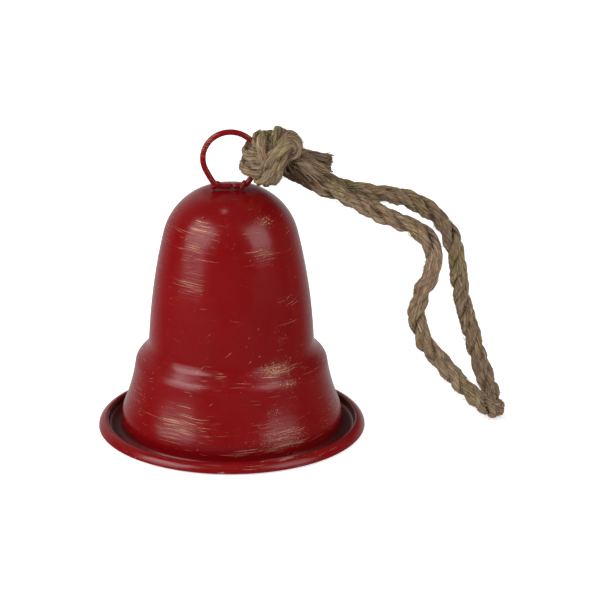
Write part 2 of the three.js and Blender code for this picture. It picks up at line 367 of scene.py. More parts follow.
def iron_ball_material():
    """Dark tumbled iron with small pits and brighter rubbed spots."""
    material, tree, shader = new_material("iron_ball", Metallic=0.9)
    place = node(tree, "ShaderNodeTexCoord").outputs["Object"]
    cloud = noise(tree, place, 240, detail=5, roughness=0.7)
    colour = mix_colour(tree, span(tree, cloud, 0.4, 0.7), IRON_DARK, IRON_RUBBED)
    tree.links.new(colour, shader.inputs["Base Color"])
    tree.links.new(span(tree, cloud, 0.35, 0.7, 0.6, 0.38), shader.inputs["Roughness"])
    pits = node(tree, "ShaderNodeTexVoronoi", {"Vector": place, "Scale": 900}).outputs["Distance"]
    bump(tree, shader, span(tree, pits, 0.1, 0.45), 0.00006)
    return material


def jute_material(name, light, base, dark):
    """Jute fibre. The lay attribute holds the place along the fibres and across them; a second
    attribute holds painted shade.
    """
    material, tree, shader = new_material(name)
    shader.inputs["Specular IOR Level"].default_value = 0.2
    place = node(tree, "ShaderNodeTexCoord").outputs["Object"]
    lay = node(tree, "ShaderNodeAttribute", attribute_name="lay").outputs["Vector"]
    hollow = node(tree, "ShaderNodeAttribute", attribute_name="hollow").outputs["Fac"]
    fine = noise(tree, lay, 1000, (0.12, 3.0, 1), detail=2, roughness=0.6)
    broad = noise(tree, lay, 1000, (0.07, 1.35, 1), detail=2, roughness=0.6, shift=4.4)
    streak = maths(tree, "MULTIPLY_ADD", fine, 0.4, maths(tree, "MULTIPLY", broad, 0.6))
    colour = mix_colour(tree, span(tree, streak, 0.5, 0.62), base, light)
    colour = mix_colour(tree, span(tree, streak, 0.49, 0.37), colour, dark)

    # Knots and gaps in the fibre: small dark flecks
    flecks = noise(tree, lay, 1000, (0.35, 0.9, 1), detail=1, shift=2.7)
    colour = mix_colour(tree, span(tree, flecks, 0.64, 0.7, 0, 0.75), colour, dark)

    # Reddish and greenish lengths of fibre
    tint = noise(tree, lay, 1000, (0.035, 0.35, 1), detail=2, shift=9.3)
    drift = noise(tree, place, 48, detail=2, shift=1.3)
    reddish = span(tree, tint, 0.5, 0.64, 0, 0.8)
    colour = mix_colour(tree, reddish, colour, JUTE_REDDISH, "MULTIPLY")
    greenish = span(tree, drift, 0.48, 0.62, 0, 0.8)
    colour = mix_colour(tree, greenish, colour, JUTE_GREENISH, "MULTIPLY")
    # Painted shade: darker between the plies and where the rope lies inside the knot
    painted_shade = span(tree, hollow, 0.1, 0.85, 0, 0.95)
    colour = mix_colour(tree, painted_shade, colour, JUTE_SHADE_TINT, "MULTIPLY")
    tree.links.new(colour, shader.inputs["Base Color"])
    tree.links.new(span(tree, fine, 0.3, 0.7, 0.95, 0.75), shader.inputs["Roughness"])
    bump(tree, shader, maths(tree, "MULTIPLY_ADD", flecks, -0.5, streak), 0.0007, 1.0)
    return material


RED_PAINT = red_paint_material()
STEEL_WIRE = steel_wire_material()
IRON_BALL = iron_ball_material()
JUTE = jute_material("jute_rope", (0.35, 0.262, 0.17, 1), (0.18, 0.123, 0.074, 1),
                     (0.05, 0.03, 0.018, 1))
JUTE_HAIR = jute_material("jute_hair", (0.42, 0.34, 0.23, 1), (0.3, 0.23, 0.15, 1),
                          (0.12, 0.09, 0.06, 1))


# ---- Rope ----

ROPE_DIAMETER = 8 * MM
ROPE_PLIES = 3
PLY_OFFSET = 1.75 * MM
PLY_RADIUS = 2.35 * MM
ROPE_LAY = 27.5 * MM

# How far the rope and its hairs are kept above the surface
ROPE_LIFT = 0.1 * MM
HAIR_LIFT = 0.2 * MM

# The rope's centre line, in mm: from the knot out along the back strand, round the fold on
# the surface, and back to the knot along the front strand
ROPE_ROUTE = [
    (30.6, 4.7, 121.5),
    (38.7, 4.7, 117.5),
    (46.7, 5, 113.6),
    (54, 5.6, 110.7),
    (61.5, 6.6, 109.2),
    (70, 8.1, 107.9),
    (78.5, 10.2, 105.1),
    (85.5, 12.2, 101.1),
    (91.3, 13.9, 96.2),
    (96.2, 15.6, 89.8),
    (99.8, 17.3, 81.5),
    (101.9, 19.2, 70.5),
    (103.1, 21.1, 59),
    (105.2, 22.6, 48),
    (108.2, 24, 37),
    (110.9, 25.2, 26.8),
    (113.8, 25.4, 17.2),
    (116.4, 24, 10.6),
    (118.5, 20, 6),
    (119.5, 14.5, 4.3),
    (119.2, 8.8, 4.4),
    (117.5, 3.3, 6.6),
    (114, -1.2, 10.6),
    (109, -4.2, 15.8),
    (102.2, -6.3, 23.7),
    (95, -7.2, 32.6),
    (88.5, -7.3, 40.8),
    (84.4, -7.1, 48.8),
    (82.9, -6.8, 56.5),
    (84.3, -6.4, 64),
    (87.6, -6.1, 71.2),
    (90.2, -5.9, 78.8),
    (90, -5.6, 86.6),
    (86.4, -5.4, 93),
    (80, -5.2, 97.6),
    (71, -5.1, 101.4),
    (60, -4.9, 106.9),
    (49.5, -4.7, 112.4),
    (38.5, -4.7, 117.5),
    (30.6, -4.7, 121.5),
]

# The last of each strand, hidden in the knot
ROPE_IN_KNOT = [(22.5, 2.4, 126.4), (26.6, 4.1, 123.8)]
ROPE_PATH = [*ROPE_IN_KNOT, *ROPE_ROUTE, *((x, -y, z) for x, y, z in ROPE_IN_KNOT[::-1])]


def wander(along, size, lengths, seed):
    """A slow, smooth, repeatable wobble along a line."""
    phases = np.random.default_rng(seed).uniform(0, 2 * math.pi, len(lengths))
    waves = [np.sin(2 * math.pi * along / length + phase) for length, phase in zip(lengths, phases)]
    return size * sum(waves) / len(lengths)


def add_ply(wires, line, phase, offset, radius, lay, sides, seed, rough=1.0, twist=1.0, shade=0.0):
    """One ply of a laid rope: a helix about the line, its fibres drawn along the rope.

    offset and radius may change along the line. rough makes its bundles of fibre deeper, and
    shade is painted shade, darkening it where it lies inside the knot. The side towards the
    rope's core and the dips between bundles get painted shade too.
    """
    along = line.along
    loose = 1 + wander(along, 0.1, (31 * MM, 12 * MM), seed)
    offset = np.broadcast_to(offset, along.shape) * loose
    thick = 1 + wander(along, 0.09, (23 * MM, 9 * MM), seed + 1)
    radius = np.broadcast_to(radius, along.shape) * thick
    turn = phase + 2 * math.pi * along / lay + wander(along, 0.45, (61 * MM, 25 * MM), seed + 2)
    out = np.cos(turn)[:, None] * line.across + np.sin(turn)[:, None] * line.side
    centre = line.points + offset[:, None] * out
    tangent = unit(np.gradient(centre, axis=0))
    out = unit(out - tangent * (out * tangent).sum(1, keepdims=True))
    side = np.cross(tangent, out)

    angle = np.linspace(0, 2 * math.pi, sides, endpoint=False)[None, :]
    fibre = PLY_RADIUS * angle + twist * (2 * math.pi * ROPE_DIAMETER / 2 / lay) * along[:, None]
    slant = angle + math.pi * along[:, None] / (lay / 0.9)

    def bundles(size, long):
        places = np.stack(np.broadcast_arrays(
            along[:, None] / (long * MM) + 5.3 * seed,
            np.cos(slant) * PLY_RADIUS / (size * MM) + seed,
            np.sin(slant) * PLY_RADIUS / (size * MM)), -1)
        return lumps(places)

    grain = 0.1 * bundles(1.1, 5) + 0.07 * bundles(0.6, 2.6) + 0.05 * rough * bundles(1.3, 1.6)
    reach = radius[:, None] * (1.0 + rough * grain)
    rings = centre[:, None, :] + reach[..., None] * (
        np.cos(angle)[..., None] * out[:, None, :] + np.sin(angle)[..., None] * side[:, None, :])
    rings[..., 2] = np.maximum(rings[..., 2], ROPE_LIFT)
    number = np.full(fibre.shape, 0.37 * seed)
    lay_place = np.stack([np.broadcast_to(along[:, None], fibre.shape), fibre, number], -1)
    # Painted shade: the side towards the rope's core and the dips between bundles are darker
    hollow = np.clip(0.5 - 0.5 * np.cos(angle) * 1.35 - 1.6 * grain, 0, 1)
    hollow = np.maximum(hollow, np.broadcast_to(shade, along.shape)[:, None])
    wires.add(rings, lay_place, hollow)


def add_rope(wires, line, seed, lay=ROPE_LAY, offset=PLY_OFFSET, radius=PLY_RADIUS, sides=36,
             rough=1.0, twist=1.0, shade=0.0):
    for ply in range(ROPE_PLIES):
        phase = 2 * math.pi * ply / ROPE_PLIES
        ply_seed = seed + 10 * ply
        add_ply(wires, line, phase, offset, radius, lay, sides, ply_seed, rough, twist, shade)


def add_hair(wires, start, heading, length, radius, curl, draw):
    """One loose fibre: a thin bent tube that tapers to its tip."""
    bend = unit(draw.normal(size=3)) * curl
    t = np.linspace(0, 1, 6)[:, None]
    points = start + heading * length * t + bend * length * t ** 2
    points[:, 2] = np.maximum(points[:, 2], HAIR_LIFT)
    line = Line(points, length / 6)
    taper = radius * (1 - 0.75 * line.along / line.length)
    rings = tube_rings(line, taper, 4)
    lay = np.zeros((*rings.shape[:2], 3))
    lay[..., 0] = line.along[:, None]
    lay[..., 1:] = draw.uniform(0, 0.05, 2)
    wires.add(rings, lay)


def hair_on(wires, line, count, reach, draw, outward=0.35):
    """Loose fibres that start on a rope's surface and mostly lie along it."""
    for _ in range(count):
        i = int(draw.integers(2, len(line.points) - 2))
        angle = draw.uniform(0, 2 * math.pi)
        out = math.cos(angle) * line.across[i] + math.sin(angle) * line.side[i]
        around = np.cross(line.tangents[i], out)
        lean = draw.choice([-1, 1]) * line.tangents[i] + 0.5 * draw.normal() * around
        heading = unit(lean + out * outward * abs(draw.normal()) * 1.6)
        start = line.points[i] + out * reach
        length = draw.uniform(2, 6.5) * MM
        add_hair(wires, start, heading, length, draw.uniform(0.04, 0.075) * MM, 0.35, draw)


def mm_points(points):
    return np.array(points, float) * MM


rope_line = Line(mm_points(ROPE_PATH), 0.5 * MM)


def make_rope():
    wires = Wires()
    near = np.minimum(rope_line.along, rope_line.length - rope_line.along)
    # Painted shade where the rope runs into the knot
    shade = 0.95 * np.clip((22 * MM - near) / (7 * MM), 0, 1)
    add_rope(wires, rope_line, 1, rough=1.5, shade=shade)
    return wires.build("rope", JUTE)


def make_rope_hair():
    wires = Wires()
    draw = np.random.default_rng(11)
    hair_on(wires, rope_line, count=1700, reach=3.7 * MM, draw=draw, outward=0.2)
    hair_on(wires, rope_line, count=320, reach=3.8 * MM, draw=draw, outward=0.6)
    return wires.build("rope_hair", JUTE_HAIR)


# ---- Knot ----

# Each turn of rope in the knot: its points, its plies' offset and their radius, in mm. The
# first two go round the ring's wire, and the others are drawn tight over each other.
KNOT_TURNS = [
    ([(23, 7.4, 126.4), (17.5, 8.3, 125.2), (12, 7.2, 124.6), (8.4, 4.2, 124.3), (7.3, 0, 124.2),
      (8.4, -4.2, 124.4), (12, -7.2, 124.8), (17.5, -8.2, 125.6), (21.5, -6.8, 126.6)], 1.6, 2.15),
    ([(23, 7, 131.6), (17.5, 8, 131.6), (13, 7, 131.4), (9.8, 4.2, 131.2), (8.7, 0, 131.1),
      (9.8, -4.2, 131.2), (13, -7, 131.6), (17, -7.6, 132.4), (21, -6.6, 132.6)], 1.5, 2.1),
    ([(14, 4.5, 135.8), (13.4, 0, 137.1), (13.8, -4.5, 136.6), (15, -8.2, 134.6),
      (16.6, -9.2, 130.6), (18.6, -7.6, 126.5), (20, -4, 123.5)], 1.6, 2.15),
    ([(15.4, 8, 127), (17.4, 8.6, 132), (20.2, 6, 136), (21.9, 1, 137.9), (22, -4, 137.2),
      (20.4, -8, 134.4), (18.2, -9.6, 130), (16.6, -8, 125)], 1.6, 2.3),
    ([(24, 6.5, 131), (25, 2.6, 135.2), (24.8, -2.4, 136), (22.4, -7.4, 134.2),
      (19, -10, 129.6), (16.2, -9.6, 124.6), (14.6, -6, 120.7), (14.8, -0.6, 119.2),
      (16.8, 5, 120.8), (19.6, 8.4, 125), (22.4, 8.8, 128)], 1.8, 2.4),
    ([(23.8, -3.6, 132.4), (21.8, -7.4, 129.6), (19.8, -8.8, 125.4), (18.9, -7, 121.4),
      (18.6, -2.4, 119.6), (19.4, 3, 120), (21.2, 6.6, 123), (23, 6.6, 126.4)], 1.5, 2.1),
    ([(22.6, -2, 134.6), (25.4, -3.8, 136.4), (28, -4.4, 136.2), (29.2, -4.6, 133.8),
      (28, -5, 131.6), (25.8, -5.4, 131.4)], 1.2, 1.75),
    ([(23.5, 3.4, 136), (26, 3.6, 136), (28.2, 2.6, 134), (28.6, 1.6, 131), (26.6, 0.6, 129)],
     1.4, 1.9),
]
KNOT_HEART = [(16.4, 0, 123.6), (18.6, 0, 127.6), (21.6, 0, 129.4), (24.6, 0, 127.4),
              (27, 0, 124.4)]


def make_knot():
    wires = Wires()
    for number, (points, offset, radius) in enumerate(KNOT_TURNS):
        line = Line(mm_points(points), 0.35 * MM)
        seed = 40 + 3 * number
        add_rope(wires, line, seed, lay=38 * MM, offset=offset * MM, radius=radius * MM,
                 sides=44, rough=2.5, twist=0.7)
    # The knot's core is drawn dark all over: painted shade in the hollow under the right lobe
    heart = Line(mm_points(KNOT_HEART), 0.6 * MM)
    add_rope(wires, heart, 90, lay=50 * MM, offset=2.7 * MM, radius=2.9 * MM, sides=32,
             shade=0.9)
    return wires.build("knot", JUTE)


def make_knot_hair():
    wires = Wires()
    draw = np.random.default_rng(12)
    for points, offset, radius in KNOT_TURNS:
        line = Line(mm_points(points), 0.4 * MM)
        reach = (offset + radius - 0.3) * MM
        hair_on(wires, line, count=190, reach=reach, draw=draw, outward=0.3)
    return wires.build("knot_hair", JUTE_HAIR)


# ---- Cut rope ends ----

# Each cut end's centre line in mm, from inside the knot to the cut
TAIL_BACK = [(24.5, 3.4, 128.2), (29, 4.4, 127.3), (34, 4.7, 126.5), (38.5, 4.8, 125.5),
             (42.6, 4.9, 124.5)]
TAIL_FRONT = [(24.5, -2.2, 127.4), (29, -3.2, 126.8), (33.5, -4.4, 125.7), (38, -5.2, 124.4),
              (41.6, -5.6, 123)]
TAIL_REACH = 3.1
TAIL_YARNS = 70
TAIL_STRAYS = 110
YARN_SIDES = 10


def make_tail(name, points, fan, sag, seed):
    """A cut end whose plies open into loose yarns of uneven length.

    fan is how far they spread, and sag is how far some of them droop.
    """
    draw = np.random.default_rng(seed)
    line = Line(mm_points(points), 0.4 * MM)
    part = np.clip((line.along / line.length - 0.3) / 0.7, 0, 1)
    wires = Wires()
    # Painted shade at the root, where the tail comes out of the knot
    root_shade = 0.95 * np.clip(1.6 - line.along / (6 * MM), 0, 1)
    add_rope(wires, line, seed, lay=44 * MM, offset=(1.7 + 0.3 * part) * MM,
             radius=(2.1 - 0.9 * part) * MM, sides=28, rough=1.5, shade=root_shade)
    start = int(len(line.points) * 0.25)
    for _ in range(TAIL_YARNS):
        angle, ring = draw.uniform(0, 2 * math.pi), math.sqrt(draw.uniform(0.02, 1))
        turn = angle + draw.uniform(0.2, 0.9) * part
        reach = ring * (TAIL_REACH + fan * part ** 1.4) * MM
        out = np.cos(turn)[:, None] * line.across + np.sin(turn)[:, None] * line.side
        path = line.points + reach[:, None] * out
        path[:, 2] -= sag * MM * draw.uniform(0, 1) ** 1.5 * part ** 1.3
        path = path[start::3]
        beyond = draw.uniform(-0.4, 3.6) * MM
        drift = draw.normal(size=3) * 0.5 * MM
        path = np.vstack([path, path[-1] + line.tangents[-1] * beyond + drift])
        yarn = Line(path, 0.5 * MM)
        radius = draw.uniform(0.36, 0.68) * MM * (1 - 0.4 * (yarn.along / yarn.length) ** 4)
        rings = tube_rings(yarn, radius, YARN_SIDES)
        lay = np.zeros((*rings.shape[:2], 3))
        lay[..., 0] = yarn.along[:, None] + draw.uniform(0, 0.1)
        around = np.linspace(0, 2 * math.pi, YARN_SIDES, endpoint=False)[None, :]
        lay[..., 1] = around * 0.6 * MM
        lay[..., 2] = draw.uniform(0, 1)
        # Painted shade: yarns near the tail's core are darker, with some random tone per yarn, and
        # darkest near the root
        hollow = np.full(rings.shape[:2], 0.5 * (1 - ring) + draw.uniform(0, 0.3))
        hollow = np.maximum(hollow, 0.95 * np.clip(1.3 - yarn.along / (4 * MM), 0, 1)[:, None])
        wires.add(rings, lay, hollow)
    for _ in range(TAIL_STRAYS):
        turn, ring = draw.uniform(0, 2 * math.pi), math.sqrt(draw.uniform(0.05, 1))
        out = math.cos(turn) * line.across[-1] + math.sin(turn) * line.side[-1]
        start_point = line.points[-1] + out * ring * (TAIL_REACH + fan) * MM
        start_point = start_point - line.tangents[-1] * MM
        heading = unit(line.tangents[-1] + 0.3 * draw.normal(size=3))
        length = draw.uniform(1.8, 4.6) * MM
        add_hair(wires, start_point, heading, length, draw.uniform(0.06, 0.12) * MM, 0.25, draw)
    return wires.build(name, JUTE)


rope = make_rope()
rope_hair = make_rope_hair()
knot = make_knot()
knot_hair = make_knot_hair()
tail_back = make_tail("tail_back", TAIL_BACK, 0.6, 0.5, 21)
tail_front = make_tail("tail_front", TAIL_FRONT, 1.1, 4.5, 22)
stand_for(rope, "rope", "jute_rope", "rope_loop")
stand_for(rope_hair, "rope", "jute_rope")
stand_for(knot, "rope", "jute_rope", "rope_knot")
stand_for(knot_hair, "rope", "jute_rope")
stand_for(tail_back, "rope", "jute_rope", "rope_tail_back")
stand_for(tail_front, "rope", "jute_rope", "rope_tail_front")


# ---- Bell shell ----

SHEET = 0.8 * MM
SHELL_SIDES = 192

# The outer face from the apex to the lip's free edge: radii and lengths in mm, and the slope
# that each bend ends at, in degrees below horizontal
CROWN_RADIUS, CROWN_SLOPE = 110, 6
CROWN_EDGE_RADIUS, CROWN_EDGE_SLOPE = 13, 30
DOME_RADIUS, DOME_SLOPE = 28.5, 76.7
WAIST_RADIUS, WAIST_SLOPE = 272, 87.4
COVE_RADIUS, COVE_SLOPE = 7, 47
SHOULDER_FLAT = 3.7
SHOULDER_RADIUS, SHOULDER_SLOPE = 6.6, 82.4
SKIRT_RADIUS, SKIRT_SLOPE = 85, 68.2
SKIRT_FOOT_RADIUS, SKIRT_FOOT_DROP = 12.6, 3.7
GUTTER_FILLET, GUTTER_WIDTH = 2.2, 2.18
LIP_FILLET, LIP_WALL = 1.6, 1.2
LIP_TOP_RADIUS, LIP_TOP_SLOPE = 1.05, 10
LIP_ROLL_RADIUS, LIP_ROLL_SLOPE = 4, 88


class Profile:
    """Walks the shell's outer face from the apex. Slopes are in degrees below horizontal."""

    def __init__(self):
        self.rows = [(0.0, 0.0, 0.0, 0.0)]

    def bend(self, radius, to_slope, steps, wear=0.0):
        r, z, slope, _ = self.rows[-1]
        side = 1 if to_slope > slope else -1
        start = math.radians(slope)
        for i in range(1, steps + 1):
            now = slope + (to_slope - slope) * i / steps
            angle = math.radians(now)
            step_r = side * radius * MM * (math.sin(angle) - math.sin(start))
            step_z = side * radius * MM * (math.cos(start) - math.cos(angle))
            self.rows.append((r + step_r, z - step_z, now, wear))

    def straight(self, length, steps=2, wear=0.0):
        r, z, slope, _ = self.rows[-1]
        angle = math.radians(slope)
        for i in range(1, steps + 1):
            part = length * MM * i / steps
            row = (r + part * math.cos(angle), z - part * math.sin(angle), slope, wear)
            self.rows.append(row)


def shell_profile():
    walk = Profile()
    walk.bend(CROWN_RADIUS, CROWN_SLOPE, steps=6)
    walk.bend(CROWN_EDGE_RADIUS, CROWN_EDGE_SLOPE, steps=8)
    walk.bend(DOME_RADIUS, DOME_SLOPE, steps=22, wear=0.35)
    walk.bend(WAIST_RADIUS, WAIST_SLOPE, steps=18, wear=0.1)
    walk.bend(COVE_RADIUS, COVE_SLOPE, steps=10)
    walk.straight(SHOULDER_FLAT, steps=4, wear=0.55)
    walk.bend(SHOULDER_RADIUS, SHOULDER_SLOPE, steps=12, wear=0.75)
    walk.bend(SKIRT_RADIUS, SKIRT_SLOPE, steps=12, wear=0.3)
    walk.bend(SKIRT_FOOT_RADIUS, 90, steps=8, wear=0.55)
    walk.straight(SKIRT_FOOT_DROP, steps=3, wear=0.1)
    walk.bend(GUTTER_FILLET, 0, steps=8)
    walk.straight(GUTTER_WIDTH, steps=3)
    walk.bend(LIP_FILLET, -90, steps=8)
    walk.straight(LIP_WALL)
    walk.bend(LIP_TOP_RADIUS, LIP_TOP_SLOPE, steps=10, wear=0.5)
    walk.bend(LIP_ROLL_RADIUS, LIP_ROLL_SLOPE, steps=14, wear=0.35)
    return np.array(walk.rows)


# Rubbed places: the angle round from the front, the height in mm, how far each reaches in
# degrees and in mm, and the strength of lines, slanting strokes and specks
RUBS = [
    (-32, 97.4, 16, 7, 1.0, 0.1, 0.3),
    (-32, 78.7, 15, 7, 0.95, 0, 0.2),
    (40, 104.5, 11, 2.4, 0.2, 1.3, 0.1),
    (29, 92, 12, 4, 0.75, 0.3, 0.75),
    (48, 70, 11, 2.4, 0.6, 0.5, 0.75),
    (38, 51.5, 6, 5, 0.1, 0, 0.75),
    (33, 39.6, 16, 3.2, 1.2, 1.1, 1.1),
    (38, 33, 7, 2.2, 0.2, 0.95, 0.6),
    (-7, 38.9, 5, 1.9, 0.95, 0, 0),
    (-27, 16, 18, 6.5, 1.05, 0, 0.2),
    (28, 10.5, 19, 6.5, 0.7, 0.3, 0.85),
    (27, 22.5, 8, 3.5, 0, 0.1, 0.7),
    (6, 6, 22, 1.2, 0.95, 0, 0.3),
    (-3.5, 1.2, 0.9, 0.7, 0, 0, 2.4),
    (96, 88, 14, 6, 0.7, 0.5, 0.4),
    (120, 38, 18, 4, 0.8, 0.3, 0.8),
    (150, 66, 12, 9, 0.6, 0.4, 0.5),
    (175, 99, 20, 6, 0.8, 0.2, 0.4),
    (-160, 16, 20, 6, 0.8, 0.2, 0.7),
    (-135, 78, 14, 8, 0.7, 0.5, 0.4),
    (-110, 39, 16, 3, 0.9, 0.2, 0.8),
    (-85, 100, 14, 5, 0.6, 0.3, 0.3),
    (-75, 20, 14, 5, 0.7, 0, 0.6),
    (80, 14, 14, 6, 0.4, 0.4, 0.9),
]


def rub_at(angle, height, wear):
    """How rubbed the paint is at each place, from the listed places and the edges' wear."""
    total = np.stack([0.3 * wear, 0.1 * wear, 0.25 * wear], -1)
    front = np.degrees(angle) + 90
    for around, level, reach_round, reach_up, *strength in RUBS:
        turn = (front - around + 180) % 360 - 180
        near = np.exp(-(turn / reach_round) ** 2 - ((height / MM - level) / reach_up) ** 2)
        total += near[..., None] * np.array(strength)
    return total


def make_shell():
    rows = shell_profile()
    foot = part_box("bell_shell")[0].z
    outer = rows[:, :2].copy()
    outer[:, 1] += foot + SHEET - rows[:, 1].min()
    slope = np.radians(rows[:, 2])
    inner = outer - SHEET * np.stack([np.sin(slope), np.cos(slope)], 1)
    edge = outer[-1] + SHEET * 0.35 * np.array([math.cos(slope[-1]), -math.sin(slope[-1])])
    edge -= SHEET / 2 * np.array([math.sin(slope[-1]), math.cos(slope[-1])])
    outline = np.vstack([outer[1:], edge, inner[:0:-1]])
    wear = np.concatenate([rows[1:, 3], [0.4], np.zeros(len(inner) - 1)])
    outside = np.concatenate([np.ones(len(outer)), np.zeros(len(inner) - 1)])

    # Pressed sheet isn't perfectly round: it is out by about a tenth of a millimetre
    angle = np.linspace(0, 2 * math.pi, SHELL_SIDES, endpoint=False)
    height = outline[:, 1][:, None]
    swell = 0.06 * np.sin(3 * angle + 40 * height) + 0.05 * np.sin(2 * angle + 1.3 - 70 * height)
    swell += 0.03 * np.sin(7 * angle + 110 * height + 0.7)
    radius = outline[:, 0][:, None] + swell * MM * np.minimum(1, outline[:, 0][:, None] / 0.02)
    x, y = radius * np.cos(angle), radius * np.sin(angle)
    rings = np.stack([x, y, np.broadcast_to(height, x.shape)], -1)
    count = len(outline)
    vertices = np.vstack([rings.reshape(-1, 3), [(0, 0, outer[0, 1]), (0, 0, inner[0, 1])]])
    faces = [face[::-1] for face in grid_faces(count, SHELL_SIDES)]
    top, under = count * SHELL_SIDES, count * SHELL_SIDES + 1
    base = (count - 1) * SHELL_SIDES
    for j in range(SHELL_SIDES):
        k = (j + 1) % SHELL_SIDES
        faces.append((top, j, k))
        faces.append((under, base + k, base + j))
    wear = np.broadcast_to(wear[:, None], x.shape)
    rub = rub_at(angle[None, :], height, wear) * outside[:, None, None]
    rub = np.vstack([rub.reshape(-1, 3), np.zeros((2, 3))])

    # Painted shade in the gutter, between the skirt's foot and the top of the lip: dark at the
    # sides and back, light in front
    level = outline[:, 1] - foot
    grime = np.clip((6.5 * MM - level) / (4 * MM), 0, 1) * outside
    grime *= np.clip((54.2 * MM - outline[:, 0]) / (0.8 * MM), 0, 1)
    turn = np.abs((np.degrees(angle) + 90 + 180) % 360 - 180)
    grime = grime[:, None] * (0.12 + 0.88 * np.clip((turn - 30) / 45, 0, 1))
    grime = np.append(grime.ravel(), [0, 0])
    return add_mesh("shell", vertices, faces, RED_PAINT, rub=rub, grime=grime)


stand_for(make_shell(), "bell", "red_paint", "bell_shell")


# ---- Hanging ring ----

RING_WIRE = 2.6 * MM
RING_RADIUS = 12.3 * MM
RING_CENTRE_ABOVE_FOOT = 13 * MM


def arc(centre_x, centre_z, radius, start, end, count):
    angle = np.radians(np.linspace(start, end, count))
    x, z = centre_x + radius * np.cos(angle), centre_z + radius * np.sin(angle)
    return np.stack([x, np.zeros(count), z], 1)


def blob(wires, centre, size, seed, turn=0.0):
    """A weld bead: a ball drawn out to a size and made uneven."""
    rows, sides = 18, 24
    down = np.linspace(0.06, math.pi - 0.06, rows)[:, None]
    round_ = np.linspace(0, 2 * math.pi, sides, endpoint=False)[None, :]
    shape = np.stack([np.sin(down) * np.cos(round_), np.sin(down) * np.sin(round_),
                      np.cos(down) * np.ones_like(round_)], -1)
    uneven = 0.1 * np.sin(3.1 * shape[..., 0] + 2.3 * shape[..., 2] + seed)
    uneven += 0.07 * np.sin(6.3 * shape[..., 1] - 4.1 * shape[..., 2] + 2 * seed)
    shape = shape * (1 + uneven[..., None]) * np.asarray(size) * MM
    c, s = math.cos(turn), math.sin(turn)
    x, z = shape[..., 0] * c - shape[..., 2] * s, shape[..., 0] * s + shape[..., 2] * c
    wires.add((np.stack([x, shape[..., 1], z], -1) + np.asarray(centre))[::-1])


def make_ring():
    """The ring's wire comes down to two feet that meet in the middle of the crown.

    Each corner has two lumps of weld.
    """
    centre = JOINTS["rope_swing"]["pos_m"][2]
    foot = centre - RING_CENTRE_ABOVE_FOOT
    wires = Wires()
    circle = arc(0, centre, RING_RADIUS, -25, 205, 56)
    leg = mm_points([(0.35, 0.35, 0.15), (2.2, 0.2, 0), (4.6, 0, 0), (6.1, 0, 0.25), (7.3, 0, 1.3),
                     (8.9, 0, 3.6)])
    right = leg + np.array([0, 0, foot])
    left = right[::-1] * np.array([-1, -1, 1])
    left[-1, 0] += 0.7 * MM
    line = Line(np.vstack([right, circle, left]), 0.3 * MM)
    radius = RING_WIRE / 2 * (1 + wander(line.along, 0.02, (19 * MM, 7 * MM), 5))
    radius *= np.clip(0.45 + line.along / (3.2 * MM), 0, 1)
    radius *= np.clip(0.7 + (line.length - line.along) / (1.2 * MM), 0, 1)
    wires.add(tube_rings(line, radius, 24))
    blob(wires, (-5.5 * MM, -0.1 * MM, foot + 1.15 * MM), (1.7, 1.5, 0.95), 1.0, -0.25)
    blob(wires, (-7.4 * MM, -0.1 * MM, foot - 0.05 * MM), (1.5, 1.7, 1.3), 4.0)
    blob(wires, (5.9 * MM, -0.5 * MM, foot + 0.9 * MM), (1.45, 1.6, 1.9), 2.0, -0.5)
    blob(wires, (5.1 * MM, -0.6 * MM, foot - 0.1 * MM), (1.3, 1.5, 1.35), 3.0, -0.3)
    piece = wires.build("ring", RED_PAINT)
    rub = np.tile([0.15, 0.05, 0.15], (len(piece.data.vertices), 1))
    place = np.array([vertex.co for vertex in piece.data.vertices])
    worn = np.hypot(place[:, 0] + 11 * MM, place[:, 2] - centre - 6 * MM) < 5 * MM
    rub[worn, 0] = 0.8
    attribute = piece.data.attributes.new("rub", "FLOAT_VECTOR", "POINT")
    attribute.data.foreach_set("vector", rub.ravel())
    return piece


stand_for(make_ring(), "bell", "red_paint", "hanging_ring")


# ---- Clapper ----

STAPLE_WIRE = 2 * MM
STAPLE_RADIUS = 5 * MM
LINK_WIRE = 1.6 * MM
LINK_RADIUS = 4.5 * MM
ROD_WIRE = 2 * MM
EYE_RADIUS = 4 * MM
BALL_RADIUS = 10 * MM
BORE_GAP = 0.3 * MM
RIVET_RADIUS = 2.4 * MM


def make_staple():
    """A U of wire under the crown, with a bead of weld at each leg."""
    pivot = JOINTS["clapper_link_swing"]["pos_m"][2]
    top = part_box("clapper_staple")[1].z
    low = arc(0, pivot + STAPLE_RADIUS, STAPLE_RADIUS, 180, 360, 40)
    points = np.vstack([[(-STAPLE_RADIUS, 0, top)], low, [(STAPLE_RADIUS, 0, top)]])
    wires = Wires()
    wires.add(tube_rings(Line(points, 0.3 * MM), STAPLE_WIRE / 2, 20))
    for side in (-1, 1):
        blob(wires, (side * STAPLE_RADIUS, 0, top - 0.2 * MM), (1.7, 1.7, 0.8), side + 2)
    return wires.build("staple", STEEL_WIRE)


def make_link():
    """A ring of wire whose two ends meet at its side."""
    low = JOINTS["clapper_swing"]["pos_m"][2]
    centre = low + LINK_RADIUS
    circle = arc(0, centre, LINK_RADIUS, 4, 356, 72)
    circle = np.stack([circle[:, 1], circle[:, 0], circle[:, 2]], 1)
    line = Line(circle, 0.25 * MM)
    end = np.minimum(line.along, line.length - line.along)
    radius = LINK_WIRE / 2 * np.clip(0.75 + end / (2 * MM), 0, 1)
    wires = Wires()
    wires.add(tube_rings(line, radius, 20))
    return wires.build("link", STEEL_WIRE)


def turned(outline, sides):
    """The rings of a shape turned about the bell's axis, from [radius, z] points."""
    angle = np.linspace(0, 2 * math.pi, sides, endpoint=False)[None, :]
    outline = np.asarray(outline, float)
    radius, height = outline[:, 0][:, None], outline[:, 1][:, None]
    x, y = radius * np.cos(angle), radius * np.sin(angle)
    return np.stack([x, y, np.broadcast_to(height, x.shape)], -1)


